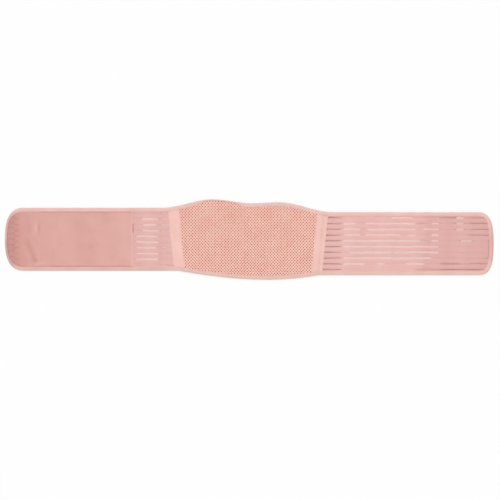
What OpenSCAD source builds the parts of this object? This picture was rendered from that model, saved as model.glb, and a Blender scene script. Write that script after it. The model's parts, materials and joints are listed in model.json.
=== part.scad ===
// Lumbar support belt, laid open with its outer face up.
// X runs along the belt, Y up the back, Z out of the face; the origin is under the middle of its box.
// The cloth is continuous on the real belt. Here it is divided where the belt bends or stretches,
// so that each stiff stretch of it can turn about the next.

/* [Length] */
// Middle of the back panel to the loop end
left_reach = 522.4; // [480:1:650]
// Middle of the back panel to the hook end
right_reach = 527.6; // [480:1:650]
// Distance between the middles of the two seam tapes, at half height
panel_width = 307.5; // [280:1:330]

/* [Height] */
// Height of the wings
wing_height = 135.4; // [115:1:165]
// Rise of the panel's top edge over the wings, at the spine
spine_rise = 14.8; // [0:0.5:18]
// Rise of the panel's top edge over the wings, at its two shoulders
shoulder_rise = 19.6; // [10:0.5:30]
// Distance from the spine to each shoulder
shoulder_x = 71; // [50:1:90]
// Distance from the spine to where the top edge is level with the wings
rise_end_x = 185; // [165:1:186]
// Drop of the panel's bottom edge below the wings
tail_drop = 13.4; // [0:0.1:25]
// Distance from the spine to where the bottom edge meets the wings
tail_end_x = 150; // [120:1:170]
// How far the hook side lies below the loop side
lay_drop = 9.7; // [0:0.1:15]
// Distance from the spine over which that drop is taken up
lay_end_x = 150; // [100:1:185]

/* [Ends] */
// Length of the rounding at the loop end
left_round = 43; // [25:1:60]
// Squareness of the loop end
left_square = 2.6; // [2:0.1:3.5]
// Length of the rounding at the hook end
right_round = 34.4; // [25:1:60]
// Squareness of the hook end
right_square = 2.8; // [2:0.1:3.5]

/* [Cloth] */
// Thickness of the face mesh
face_t = 1.2; // [0.8:0.1:2]
// Thickness of the spacer core
core_t = 2.4; // [2.3:0.1:4]
// Thickness of the lining
lining_t = 0.8; // [0.6:0.1:1.2]
// Thickness of the elastic
elastic_t = 1.6; // [1:0.1:2.4]
// Thickness of one layer of the edge binding
binding_t = 0.8; // [0.5:0.1:1.2]
// Width of the binding on each face
binding_w = 9; // [6:0.5:14]
// Room left between pieces that are laid side by side
lay_gap = 0.2; // [0.1:0.05:0.3]

/* [Mesh] */
// Spacing of the mesh openings along the belt
mesh_pitch_x = 16.4; // [15:0.1:24]
// Spacing of the mesh openings up the belt
mesh_pitch_y = 18; // [17:0.1:26]
// Size of a mesh opening across its corners
mesh_hole = 6.4; // [3:0.1:9]
// Width of plain mesh kept round the openings
mesh_margin = 3; // [2:0.5:6]

/* [Openwork elastic] */
// Number of slit rows
slit_rows = 10; // [4:1:12]
// Spacing of the slit rows
slit_pitch = 12.36; // [8:0.1:13]
// Width of a slit
slit_w = 1; // [0.6:0.1:2]
// Solid elastic left at the end of each slit
slit_bridge = 3; // [2:0.5:6]

/* [Seams] */
// Width of the tape over each side seam
tape_w = 24.2; // [16:0.5:30]
// Thickness of the tape
tape_t = 0.8; // [0.5:0.1:1.2]
// Lean of the side seams
seam_lean = 5.6; // [0:0.2:8]
// Length over which the tape steps down from the panel to the elastic
tape_step = 7.6; // [4:0.2:8]
// Loop-side backing, from the seam to its outer edge
left_backing = 35.4; // [28:0.5:45]
// Hook-side backing, from the seam to its outer edge
right_backing = 47.2; // [28:0.5:60]

/* [Closure] */
// Bare elastic between the loop-side backing and the loop pad
bare_length = 57; // [45:1:80]
// Margin between the loop pad and the belt's end
pad_margin = 21.5; // [18:0.5:30]
// Thickness of the loop pad
pad_t = 2; // [1.5:0.1:4]
// Width of the loop pad's rounded-off edge
pad_edge = 1; // [0.5:0.1:2]
// Length of the hook patch
patch_length = 107; // [80:1:130]
// Margin between the hook patch and the belt's end
patch_margin = 12; // [10:0.5:20]

/* [Stays] */
// Distance from the spine to each inner stay
inner_stay_x = 32; // [20:1:45]
// Distance from the spine to each outer stay
outer_stay_x = 108; // [92:1:115]
// Length of a stay
stay_length = 130; // [100:1:134]
// Width of a stay
stay_w = 12; // [8:0.5:13]
// Thickness of a stay
stay_t = 1; // [0.6:0.1:1.1]
// Length of the cap on each end of a stay
tip_length = 12; // [8:0.5:16]
// Thickness of a cap's wall
tip_wall = 0.2; // [0.15:0.05:0.25]
// Wall of a stay pocket
pocket_wall = 0.4; // [0.3:0.05:0.45]
// Sewn border of a pocket beside the stay's channel
pocket_border = 2.4; // [1.5:0.1:3]

/* [Bends] */
// Distance from the spine to the bend line on each side of the panel
panel_bend_x = 70; // [60:1:76]
// Loop pad's first bend line, from the pad's inner edge
pad_bend_1 = 51; // [35:1:60]
// Loop pad's second bend line, from the pad's inner edge
pad_bend_2 = 127; // [100:1:140]
// Hook side's middle bend line, from the hook-side backing
wing_bend = 89.5; // [60:1:100]
// Hook side's stretch line, from the hook-side backing
wing_stretch = 150; // [130:1:160]
// Room at each bend and stretch line
bend_gap = 0.3; // [0.2:0.05:0.5]

/* [Hidden] */

cloth_cut = 400;                // larger than the belt is high, for cutting solids
half_h = wing_height / 2;
seam_x = panel_width / 2;
window = binding_w + lay_gap;   // inset of what lies between the binding's two edges

// Heights of the layers over the surface the belt lies on
base_z = binding_t;
elastic_top = base_z + elastic_t;
core_z = base_z + lining_t;
face_z = core_z + core_t;
face_top = face_z + face_t;
panel_axis = (face_top + binding_t) / 2;   // bend lines lie half way up the cloth
wing_axis = (elastic_top + binding_t) / 2;
pad_axis = (elastic_top + pad_t) / 2;

// Bend and stretch lines, as distances from the spine
wing_room = wing_axis + bend_gap;
left_fold_x = seam_x + left_backing + wing_room + lay_gap;
pad_x = seam_x + left_backing + bare_length;
left_stretch_x = (left_fold_x + pad_x) / 2;
pad_fold_x = pad_x + pad_bend_1;
tail_fold_x = pad_x + pad_bend_2;
right_fold_x = seam_x + right_backing + wing_room + lay_gap;
middle_fold_x = right_fold_x + wing_bend - wing_room;
right_stretch_x = right_fold_x + wing_stretch - wing_room;
patch_x = right_reach - patch_margin - patch_length;
end_fold_x = patch_x - wing_room - lay_gap;

// Outline, point by point, from the top of the loop end round by the hook end
curve_step = 7;                 // spacing of points along the panel's edges
round_steps = 10;               // steps in each quarter of an end
curve_x = max(rise_end_x, tail_end_x) + 2;
curve_n = ceil(2 * curve_x / curve_step);
curve_xs = [for (i = [0:curve_n]) -curve_x + 2 * curve_x * i / curve_n];
function ease(t) = (1 - cos(180 * min(max(t, 0), 1))) / 2;
function lay(x) = -lay_drop * ease((x + lay_end_x) / (2 * lay_end_x));
function rise(x) = abs(x) < shoulder_x
    ? spine_rise + (shoulder_rise - spine_rise) * ease(abs(x) / shoulder_x)
    : shoulder_rise * (1 - ease((abs(x) - shoulder_x) / (rise_end_x - shoulder_x)));
function drop(x) = tail_drop * max(0, 1 - pow(x / tail_end_x, 2));
function top_y(x) = lay(x) + half_h + rise(x);
function bottom_y(x) = lay(x) - half_h - drop(x);
function power(v, n) = sign(v) * pow(abs(v), 2 / n);
function end_point(a, n, t) = [a * power(cos(t), n), half_h * power(sin(t), n)];
right_arc = [for (i = [0:2 * round_steps]) let (p = end_point(right_round, right_square, 90 - 90 * i / round_steps))
    [right_reach - right_round + p.x, lay(curve_x) + p.y]];
left_arc = [for (i = [0:2 * round_steps]) let (p = end_point(left_round, left_square, -90 + 90 * i / round_steps))
    [-left_reach + left_round - p.x, lay(-curve_x) + p.y]];
outline = concat([for (x = curve_xs) [x, top_y(x)]], right_arc,
    [for (x = curve_xs) [-x, bottom_y(-x)]], left_arc);
function unit(v) = v / norm(v);
function inset(d) = [for (i = [0:len(outline) - 1])
    let (n = len(outline), p = outline[i],
        a = unit(p - outline[(i + n - 1) % n]), b = unit(outline[(i + 1) % n] - p),
        m = unit(a + b), reach = d / max(0.5, a * m))
    p + reach * [m.y, -m.x]];

// The origin is under the middle of the belt's box
belt_x = (left_reach - right_reach) / 2;
belt_y = -(max([for (p = outline) p.y]) + min([for (p = outline) p.y])) / 2;
module laid() translate([belt_x, belt_y, 0]) children();

// One body's share of the cloth: from start to finish on one side (+1 hook side, -1 loop side).
// A share that starts at a bend has a round end on the bend's axis, at height axis_z.
module share(side, start, finish, axis_z = 0) {
    translate([side > 0 ? start : -finish, -cloth_cut / 2, -1]) cube([finish - start, cloth_cut, 20]);
    if (axis_z > 0)
        translate([side * start, 0, axis_z]) rotate([90, 0, 0])
            cylinder(r = axis_z, h = cloth_cut, center = true, $fn = 48);
}
module centre_share() {
    reach = panel_bend_x - panel_axis - bend_gap;
    translate([-reach, -cloth_cut / 2, -1]) cube([2 * reach, cloth_cut, 20]);
}
module side_share(side)
    share(side, panel_bend_x, (side > 0 ? right_fold_x : left_fold_x) - wing_room, panel_axis);

module sheet(z, t, d) translate([0, 0, z]) linear_extrude(t) polygon(inset(d));

// The side seam's own frame: u runs outwards from the seam line, which leans with the panel's edge
module at_seam(side)
    mirror([side > 0 ? 0 : 1, 0, 0]) translate([seam_x, lay(side * seam_x), 0]) rotate([0, 0, -seam_lean]) children();
// Everything between height low and the cloth's top surface raised by lift, stepping down at the seam
module under_surface(side, low, lift) {
    high = face_top + lift;
    wing = elastic_top + lift;
    at_seam(side) rotate([90, 0, 0]) linear_extrude(cloth_cut, center = true)
        polygon([[-seam_x, low], [-seam_x, high], [lay_gap, high], [lay_gap + tape_step, wing],
            [2 * seam_x, wing], [2 * seam_x, low]]);
}
module seam_band(side, from, to, low, high)
    at_seam(side) translate([from, -cloth_cut / 2, low]) cube([to - from, cloth_cut, high - low]);

// Panel layers
module panel_layer(z, t) sheet(z, t, binding_t);
module inside_seam(side) seam_band(side, -2 * seam_x, 0, -1, 20);
module outside_seam(side) seam_band(side, lay_gap, 3 * seam_x, -1, 20);
module mesh_openings(from, to) {
    // Staggered six-sided openings, kept clear of the binding, the tapes and the bend lines
    clear = mesh_hole / 2 + mesh_margin;
    edge = binding_w + clear;
    tape_edge = seam_x - tape_w / 2 - clear;
    columns = ceil(seam_x / mesh_pitch_x * 2);
    rows = ceil((half_h + shoulder_rise) / mesh_pitch_y) + 1;
    for (i = [-columns:columns]) {
        x = i * mesh_pitch_x / 2;
        shift = i % 2 == 0 ? 0 : mesh_pitch_y / 2;
        if (x > from + clear && x < to - clear)
            for (j = [-rows:rows]) {
                y = lay(0) + j * mesh_pitch_y + shift;
                lean = (y - lay(x)) * tan(seam_lean);
                if (y < top_y(x) - edge && y > bottom_y(x) + edge && abs(x) < tape_edge + lean)
                    translate([x, y, face_z - 1]) cylinder(d = mesh_hole, h = face_t + 2, $fn = 6);
            }
    }
}
module stay_place(x) translate([x, lay(x) + (rise(x) - drop(x)) / 2, core_z + core_t / 2]) children();
pocket_w = stay_w + 2 * (tip_wall + lay_gap + pocket_border);
pocket_length = stay_length + 2 * (tip_wall + lay_gap + pocket_border);
module pocket_outer(x, extra = 0)
    stay_place(x) cube([pocket_w + 2 * extra, pocket_length + 2 * extra, core_t], center = true);

module centre_face() laid() color([0.91, 0.70, 0.65]) difference() {
    intersection() { panel_layer(face_z, face_t); centre_share(); }
    mesh_openings(-panel_bend_x + panel_axis, panel_bend_x - panel_axis);
}
module centre_core() laid() color([0.86, 0.70, 0.62]) difference() {
    intersection() { panel_layer(core_z, core_t); centre_share(); }
    for (s = [-1, 1]) pocket_outer(s * inner_stay_x, lay_gap);
}
module centre_lining() laid() color([0.90, 0.76, 0.70])
    intersection() { panel_layer(base_z, lining_t); centre_share(); }
module side_face(side) laid() color([0.91, 0.70, 0.65]) difference() {
    intersection() { panel_layer(face_z, face_t); side_share(side); inside_seam(side); }
    if (side > 0) mesh_openings(panel_bend_x, seam_x);
    else mesh_openings(-seam_x, -panel_bend_x);
}
module side_core(side) laid() color([0.86, 0.70, 0.62]) difference() {
    intersection() { panel_layer(core_z, core_t); side_share(side); inside_seam(side); }
    pocket_outer(side * outer_stay_x, lay_gap);
}
module side_lining(side) laid() color([0.90, 0.76, 0.70])
    intersection() { panel_layer(base_z, lining_t); side_share(side); inside_seam(side); }

// Stays, their dipped caps and their pockets
module stay_blade(x, w, l, t) stay_place(x) intersection() {
    cube([w, l, t], center = true);
    union() {
        cube([w, l - w, t], center = true);
        for (s = [-1, 1]) translate([0, s * (l - w) / 2, 0]) cylinder(d = w, h = t, center = true, $fn = 48);
    }
}
module stay(x) laid() color([0.55, 0.57, 0.60]) stay_blade(x, stay_w, stay_length, stay_t);
module stay_tips(xs) laid() color([0.92, 0.92, 0.90]) for (x = xs) difference() {
    stay_blade(x, stay_w + 2 * tip_wall, stay_length + 2 * tip_wall, stay_t + 2 * tip_wall);
    stay_blade(x, stay_w, stay_length, stay_t);
    stay_place(x) cube([2 * stay_w, stay_length - 2 * tip_length, 2 * core_t], center = true);
}
module stay_pocket(x) laid() color([0.93, 0.90, 0.86]) difference() {
    pocket_outer(x);
    stay_place(x) cube([pocket_w - 2 * pocket_border, pocket_length - 2 * pocket_border,
        core_t - 2 * pocket_wall], center = true);
}

// Seam tape, over the step from the panel down to the elastic, and the backing strip behind it
module seam_tape(side) laid() color([0.95, 0.77, 0.73]) intersection() {
    difference() { under_surface(side, 0, tape_t); under_surface(side, -1, 0); }
    seam_band(side, -tape_w / 2, tape_w / 2, 0, 20);
    sheet(0, 20, window);
}
module backing_strip(side) laid() color([0.80, 0.62, 0.56]) intersection() {
    sheet(0, base_z, window);
    seam_band(side, -tape_w / 2, 2 * seam_x, -1, 20);
    share(side, 0, seam_x + (side > 0 ? right_backing : left_backing));
}

// Openwork elastic, cut into rows by slits that stop short of the ends of each stretch
module slits(side, start, finish, from_seam = false)
    for (i = [0:slit_rows - 1]) {
        y = (i - (slit_rows - 1) / 2) * slit_pitch;
        from = from_seam ? start + max(0, y * tan(seam_lean)) : start;
        translate([side > 0 ? from : -finish, lay(side * curve_x) + y - slit_w / 2, 0])
            cube([finish - from, slit_w, 2 * elastic_top]);
    }
module elastic(side, start, finish, axis_z) laid() color([0.90, 0.72, 0.68]) difference() {
    intersection() { sheet(base_z, elastic_t, binding_t); share(side, start, finish, axis_z); }
    slits(side, start + slit_bridge, finish - slit_bridge);
}
module side_elastic(side) laid() color([0.90, 0.72, 0.68]) difference() {
    intersection() { sheet(base_z, elastic_t, binding_t); side_share(side); outside_seam(side); }
    slits(side, seam_x + tape_w / 4, (side > 0 ? right_fold_x : left_fold_x) - wing_room - slit_bridge, true);
}
module end_elastic(side, start, reach, axis_z) laid() color([0.90, 0.72, 0.68]) difference() {
    intersection() { sheet(base_z, elastic_t, binding_t); share(side, start, reach, axis_z); }
    slits(side, start + slit_bridge, reach - binding_w - 2 * slit_bridge);
}

// Binding: one strip folded round the edge, open towards the middle of the belt
module rim(d) difference() { sheet(0, 20, 0); sheet(-1, 22, d); }
module wing_binding(side, start, finish, axis_z = 0) laid() color([0.93, 0.77, 0.73]) intersection() {
    difference() {
        sheet(0, elastic_top + binding_t, 0);
        sheet(-1, 20, binding_w);
        sheet(base_z, elastic_t, binding_t);
    }
    share(side, start, finish, axis_z);
}
module centre_binding() laid() color([0.93, 0.76, 0.71]) intersection() {
    difference() {
        sheet(0, face_top + binding_t, 0);
        sheet(-1, 20, binding_w);
        sheet(base_z, face_top - base_z, binding_t);
    }
    centre_share();
}
module side_binding(side) laid() color([0.93, 0.77, 0.72]) difference() {
    intersection() {
        rim(binding_w);
        under_surface(side, 0, binding_t);
        side_share(side);
    }
    intersection() { sheet(0, 20, binding_t); under_surface(side, base_z, 0); }
}

// Closure: loop pad on the face, hook patch on the back
pad_long = left_reach - pad_margin - pad_x;
pad_high = wing_height - 2 * window;
module pad_plan() intersection() {
    polygon(inset(window));
    translate([-left_reach + pad_margin, -cloth_cut / 2]) square([pad_long, cloth_cut]);
}
module pad_block() {
    middle = [-left_reach + pad_margin + pad_long / 2, lay(-curve_x)];
    shrink = [1 - 2 * pad_edge / pad_long, 1 - 2 * pad_edge / pad_high];
    translate([0, 0, elastic_top]) linear_extrude(pad_t - pad_edge / 2) pad_plan();
    translate([middle.x, middle.y, elastic_top + pad_t - pad_edge / 2])
        linear_extrude(pad_edge / 2, scale = shrink) translate(-middle) pad_plan();
}
module loop_pad(start, finish, axis_z = 0) laid() color([0.87, 0.67, 0.64])
    intersection() { pad_block(); share(-1, start, finish, axis_z); }
module hook_patch() laid() color([0.80, 0.60, 0.54]) intersection() {
    sheet(0, base_z, window);
    share(1, patch_x, patch_x + patch_length);
}

// Panel, back centre
centre_face();
centre_core();
centre_lining();
centre_binding();
stay(-inner_stay_x);  // inner_left_stay
stay(inner_stay_x);  // inner_right_stay
stay_pocket(-inner_stay_x);  // inner_left_pocket
stay_pocket(inner_stay_x);  // inner_right_pocket
stay_tips([-inner_stay_x, inner_stay_x]);  // centre_stay_tips
// Panel, loop side
side_face(-1);  // left_face
side_core(-1);  // left_core
side_lining(-1);  // left_lining
side_binding(-1);  // left_side_binding
side_elastic(-1);  // left_side_elastic
stay(-outer_stay_x);  // outer_left_stay
stay_pocket(-outer_stay_x);  // outer_left_pocket
stay_tips([-outer_stay_x]);  // left_stay_tips
seam_tape(-1);  // left_seam_tape
backing_strip(-1);  // left_backing_strip
// Panel, hook side
side_face(1);  // right_face
side_core(1);  // right_core
side_lining(1);  // right_lining
side_binding(1);  // right_side_binding
side_elastic(1);  // right_side_elastic
stay(outer_stay_x);  // outer_right_stay
stay_pocket(outer_stay_x);  // outer_right_pocket
stay_tips([outer_stay_x]);  // right_stay_tips
seam_tape(1);  // right_seam_tape
backing_strip(1);  // right_backing_strip
// Loop side: bare elastic, then the pad in three stretches
elastic(-1, left_fold_x, left_stretch_x - bend_gap, wing_axis);  // left_wing_elastic
wing_binding(-1, left_fold_x, left_stretch_x - bend_gap, wing_axis);  // left_wing_binding
elastic(-1, left_stretch_x, pad_fold_x - pad_axis - bend_gap, 0);  // left_pad_elastic
wing_binding(-1, left_stretch_x, pad_fold_x - pad_axis - bend_gap);  // left_pad_binding
loop_pad(pad_x, pad_fold_x - pad_axis - bend_gap);  // loop_pad_inner
elastic(-1, pad_fold_x, tail_fold_x - pad_axis - bend_gap, pad_axis);  // left_tail_elastic
wing_binding(-1, pad_fold_x, tail_fold_x - pad_axis - bend_gap, pad_axis);  // left_tail_binding
loop_pad(pad_fold_x, tail_fold_x - pad_axis - bend_gap, pad_axis);  // loop_pad_middle
end_elastic(-1, tail_fold_x, left_reach, pad_axis);  // left_end_elastic
wing_binding(-1, tail_fold_x, left_reach, pad_axis);  // left_end_binding
loop_pad(tail_fold_x, left_reach, pad_axis);  // loop_pad_outer
// Hook side: bare elastic in three stretches, then the end with its hook patch
elastic(1, right_fold_x, middle_fold_x - wing_room, wing_axis);  // right_wing_elastic
wing_binding(1, right_fold_x, middle_fold_x - wing_room, wing_axis);  // right_wing_binding
elastic(1, middle_fold_x, right_stretch_x - bend_gap, wing_axis);  // right_reach_elastic
wing_binding(1, middle_fold_x, right_stretch_x - bend_gap, wing_axis);  // right_reach_binding
elastic(1, right_stretch_x, end_fold_x - wing_room, 0);  // right_tail_elastic
wing_binding(1, right_stretch_x, end_fold_x - wing_room);  // right_tail_binding
end_elastic(1, end_fold_x, right_reach, wing_axis);  // right_end_elastic
wing_binding(1, end_fold_x, right_reach, wing_axis);  // right_end_binding
hook_patch();
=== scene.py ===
# Lumbar support belt, dressed piece by piece in the order in which it is sewn together.
import json
import math
import bpy
import numpy as np
from mathutils import Matrix, Vector


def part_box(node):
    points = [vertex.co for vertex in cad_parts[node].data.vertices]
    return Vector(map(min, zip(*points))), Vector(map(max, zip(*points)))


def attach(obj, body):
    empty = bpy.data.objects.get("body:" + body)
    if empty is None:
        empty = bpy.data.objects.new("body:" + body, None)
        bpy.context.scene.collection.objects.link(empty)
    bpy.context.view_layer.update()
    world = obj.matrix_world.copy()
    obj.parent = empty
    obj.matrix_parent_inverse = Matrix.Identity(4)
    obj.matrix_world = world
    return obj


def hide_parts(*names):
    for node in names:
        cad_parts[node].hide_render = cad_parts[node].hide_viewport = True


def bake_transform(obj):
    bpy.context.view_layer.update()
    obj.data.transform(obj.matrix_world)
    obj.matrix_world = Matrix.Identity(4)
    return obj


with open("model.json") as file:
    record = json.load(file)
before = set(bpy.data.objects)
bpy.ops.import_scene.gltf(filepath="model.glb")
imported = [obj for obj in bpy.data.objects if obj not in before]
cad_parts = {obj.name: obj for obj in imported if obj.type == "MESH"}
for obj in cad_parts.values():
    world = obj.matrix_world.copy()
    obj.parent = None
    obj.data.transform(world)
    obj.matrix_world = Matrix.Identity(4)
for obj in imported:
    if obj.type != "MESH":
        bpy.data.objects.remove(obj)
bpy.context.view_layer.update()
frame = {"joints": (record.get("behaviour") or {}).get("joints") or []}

mm = 0.001

# ---- Lining ----------------------------------------------------------------------------
# The side that lies against the wearer: one brushed knit piece, cut to the panel's outline.
# The stay channels are sewn through it, and its edges are caught under the binding and the tapes.
side_word = {-1: "left", 1: "right"}  # -1 is the loop side and 1 the hook side
joint_x = {joint["name"]: joint["pos_m"][0] for joint in frame["joints"]}
spine_x = (joint_x["left_panel_bend"] + joint_x["right_panel_bend"]) / 2
tip_x = {-1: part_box("left_end_binding")[0].x, 1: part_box("right_end_binding")[1].x}
wing_y = {side: sum(corner.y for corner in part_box(word + "_wing_elastic")) / 2
          for side, word in side_word.items()}
wing_half = (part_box("left_wing_binding")[1].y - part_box("left_wing_binding")[0].y) / 2
wing_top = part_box("left_wing_elastic")[1].z
face_base, face_top = (corner.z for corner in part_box("centre_face"))
lining_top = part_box("centre_lining")[1].z
# The panel rises a little over the spine and more at its shoulders, and drops below in a round tail
spine_rise, shoulder_rise = 14.8 * mm, 19.6 * mm
shoulder_x, rise_end_x = 71 * mm, 185 * mm
tail_drop, tail_half = 13.4 * mm, 150 * mm
askew_half = 150 * mm
seam_half, seam_lean = 153.75 * mm, math.tan(math.radians(5.6))


def ease(t):
    """A soft step from 0 to 1."""
    return (1 - np.cos(np.pi * np.clip(t, 0, 1))) / 2


def middle_y(x):
    """The belt's middle line, which lies a little higher on one wing than on the other."""
    return wing_y[-1] + (wing_y[1] - wing_y[-1]) * ease((x - spine_x + askew_half) / (2 * askew_half))


def top_y(x):
    away = np.abs(x - spine_x)
    inner = spine_rise + (shoulder_rise - spine_rise) * ease(away / shoulder_x)
    outer = shoulder_rise * (1 - ease((away - shoulder_x) / (rise_end_x - shoulder_x)))
    return middle_y(x) + wing_half + np.where(away < shoulder_x, inner, outer)


def bottom_y(x):
    return middle_y(x) - wing_half - tail_drop * np.maximum(0, 1 - ((x - spine_x) / tail_half) ** 2)


def seam_x(side, y):
    """The seam between panel and wing."""
    return spine_x + side * (seam_half + (y - middle_y(spine_x + side * seam_half)) * seam_lean)


def cloth_top(x, y):
    """Height of the cloth under the tapes and the binding: it steps down at the seam, and the panel
    thins towards its bound edge."""
    step_inside, step_run = 1.5 * mm, 9 * mm
    bound, thin_run, squeezed = 3.5 * mm, 8.5 * mm, 1.1 * mm
    side = np.where(x < spine_x, -1.0, 1.0)
    step = ease((side * (x - seam_x(side, y)) + step_inside) / step_run)
    edge = np.minimum(top_y(x) - y, y - bottom_y(x))
    thinned = squeezed * (1 - ease((edge - bound) / thin_run))
    return wing_top + (face_top - thinned - wing_top) * (1 - step)


def points_of(piece):
    flat = np.empty(len(piece.data.vertices) * 3)
    piece.data.vertices.foreach_get("co", flat)
    return flat.reshape(-1, 3)


def lay_uv(piece, uv):
    """Writes the UVs, given for each point in metres, so that yarns keep their real size."""
    mesh = piece.data
    corners = np.empty(len(mesh.loops), int)
    mesh.loops.foreach_get("vertex_index", corners)
    layer = mesh.uv_layers.active or mesh.uv_layers.new(name="UVMap")
    layer.data.foreach_set("uv", np.asarray(uv, float)[corners].ravel())


def shaped_grid(name, columns, rows, place):
    """A grid primitive whose points are put in place; place(u, v) gives points and UVs."""
    bpy.ops.mesh.primitive_grid_add(x_subdivisions=columns, y_subdivisions=rows, size=1)
    piece = bpy.context.object
    piece.name = piece.data.name = name
    flat = points_of(piece)
    points, uv = place(flat[:, 0] + 0.5, flat[:, 1] + 0.5)
    piece.data.vertices.foreach_set("co", np.asarray(points, float).ravel())
    lay_uv(piece, uv)
    piece.data.update()
    return piece


def thicken(piece, thickness):
    """Gives a sheet its thickness, downwards."""
    wall = piece.modifiers.new("thickness", "SOLIDIFY")
    wall.thickness, wall.offset, wall.use_quality_normals = thickness, -1, True
    bpy.context.view_layer.objects.active = piece
    bpy.ops.object.modifier_apply(modifier=wall.name)


def only(piece):
    bpy.ops.object.select_all(action="DESELECT")
    piece.select_set(True)
    bpy.context.view_layer.objects.active = piece


def on_all(piece, operator, **how):
    """Runs one edit-mode operator over the whole of a piece."""
    only(piece)
    bpy.ops.object.mode_set(mode="EDIT")
    bpy.ops.mesh.select_all(action="SELECT")
    operator(**how)
    bpy.ops.object.mode_set(mode="OBJECT")


# Each stretch of cloth belongs to one joint: where it is cut, and where its bend starts and ends
left_seam_cut, right_seam_cut = spine_x - seam_half + 6 * mm, spine_x + seam_half - 6 * mm
pad_inner_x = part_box("loop_pad_inner")[1].x
pad_fold_end = (joint_x["left_pad_inner_fold"] + joint_x["left_pad_outer_fold"]) / 2
left_fold_end = joint_x["left_wing_fold"] - 17 * mm
right_fold_end = (joint_x["right_wing_fold"] + joint_x["right_middle_fold"]) / 2
slack_start, slack_end = joint_x["right_middle_fold"] + 28 * mm, joint_x["right_stretch"] + 31 * mm
beyond_tips = 20 * mm
stretches = [
    ("left_panel_bend", left_seam_cut, spine_x, spine_x - 26 * mm, spine_x - 114 * mm),
    ("left_wing_fold", left_fold_end, left_seam_cut, spine_x - 158 * mm, left_fold_end),
    ("left_stretch", pad_inner_x + mm, left_fold_end, left_fold_end, pad_inner_x + mm),
    ("left_pad_inner_fold", pad_fold_end, pad_inner_x + mm, pad_inner_x + mm, pad_fold_end),
    ("left_pad_outer_fold", tip_x[-1] - beyond_tips, pad_fold_end, pad_fold_end, pad_fold_end - 82 * mm),
    ("right_panel_bend", spine_x, right_seam_cut, spine_x + 26 * mm, spine_x + 114 * mm),
    ("right_wing_fold", right_seam_cut, right_fold_end, spine_x + 158 * mm, right_fold_end),
    ("right_middle_fold", right_fold_end, slack_start, right_fold_end, slack_start),
    ("right_stretch", slack_start, slack_end, slack_start, slack_end),
    ("right_end_fold", slack_end, tip_x[1] + beyond_tips, slack_end, slack_end + 60 * mm),
]


def bend_with(piece):
    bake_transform(piece)


def cut_at_joints(piece, names):
    """Cuts a finished piece across the belt where one joint's stretch meets the next, and bakes each part's
    transform.
    names gives the name of each joint's part, and the parts come back by joint."""
    parts = {}
    taken = [row for row in stretches if row[0] in names]
    for joint, low, high, _, _ in taken:
        part = parts[joint] = piece.copy()
        part.data = piece.data.copy()
        bpy.context.collection.objects.link(part)
        part.name = part.data.name = names[joint]
        only(part)
        bpy.ops.object.mode_set(mode="EDIT")
        for cut, far_side, cleared in ((low, 2, "clear_inner"), (high, 1, "clear_outer")):
            if any(row[far_side] == cut for row in taken):
                bpy.ops.mesh.select_all(action="SELECT")
                bpy.ops.mesh.bisect(plane_co=(cut, 0, 0), plane_no=(1, 0, 0), use_fill=True,
                                    **{cleared: True})
        bpy.ops.object.mode_set(mode="OBJECT")
        bpy.ops.object.shade_smooth_by_angle(angle=math.radians(50))
        bend_with(part)
    bpy.data.objects.remove(piece)
    return parts


def laid(x, y, z):
    """The points of a cloth that lies flat, and their UVs."""
    return np.stack([x, y, z + 0 * x], 1), np.stack([x, y], 1)


def panel_sheet(name, height, thickness, tuck, columns=110, rows=44):
    """A layer of the panel, from seam to seam, whose edges stop short of the outline by tuck."""
    def place(u, v):
        y = bottom_y(spine_x) + (top_y(spine_x) - bottom_y(spine_x)) * v
        for _ in range(3):  # the seams slant, so x and y are found in turn
            x = seam_x(-1, y) + (seam_x(1, y) - seam_x(-1, y)) * u
            y = bottom_y(x) + tuck + (top_y(x) - bottom_y(x) - 2 * tuck) * v
        return laid(x, y, height(x, y))
    piece = shaped_grid(name, columns, rows, place)
    thicken(piece, thickness)
    return piece


def feed(tree, node, inputs):
    """Gives each input its number or colour, or links it to the socket that feeds it."""
    for name, value in inputs.items():
        if isinstance(value, bpy.types.NodeSocket):
            tree.links.new(value, node.inputs[name])
        else:
            node.inputs[name].default_value = value


def add_node(tree, kind, inputs=(), **settings):
    node = tree.nodes.new("ShaderNode" + kind)
    for name, value in settings.items():
        setattr(node, name, value)
    feed(tree, node, dict(inputs))
    return node


def add_math(tree, operation, *values):
    return add_node(tree, "Math", enumerate(values), operation=operation).outputs[0]


# A woven or knitted ground for every cloth: two crossing sets of yarns at real size, with their
# unevenness, and broad blotches
weave = bpy.data.node_groups.new("cloth_ground", "ShaderNodeTree")
for name, way, kind in (("Place", "INPUT", "Vector"), ("Yarns along", "INPUT", "Float"),
                        ("Yarns across", "INPUT", "Float"), ("Unevenness", "INPUT", "Float"),
                        ("Height", "OUTPUT", "Float"), ("Blotch", "OUTPUT", "Float")):
    weave.interface.new_socket(name=name, in_out=way, socket_type="NodeSocket" + kind)
weave_in = weave.nodes.new("NodeGroupInput").outputs
split = add_node(weave, "SeparateXYZ", {0: weave_in["Place"]}).outputs
waves = []
for across, yarns in enumerate(("Yarns along", "Yarns across")):
    count = add_math(weave, "MULTIPLY", split[across], weave_in[yarns])
    waves.append(add_math(weave, "SINE", add_math(weave, "MULTIPLY", count, math.tau)))
over_under = add_math(weave, "MULTIPLY", *waves)
uneven = add_node(weave, "TexNoise", {"Vector": weave_in["Place"], "Scale": 900, "Detail": 3})
rough_yarn = add_math(weave, "MULTIPLY", uneven.outputs["Fac"], weave_in["Unevenness"])
blotch = add_node(weave, "TexNoise", {"Vector": weave_in["Place"], "Scale": 28, "Detail": 4})
feed(weave, weave.nodes.new("NodeGroupOutput"), {
    "Height": add_math(weave, "ADD", add_math(weave, "MULTIPLY", over_under, 0.5), rough_yarn),
    "Blotch": blotch.outputs["Fac"]})


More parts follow.
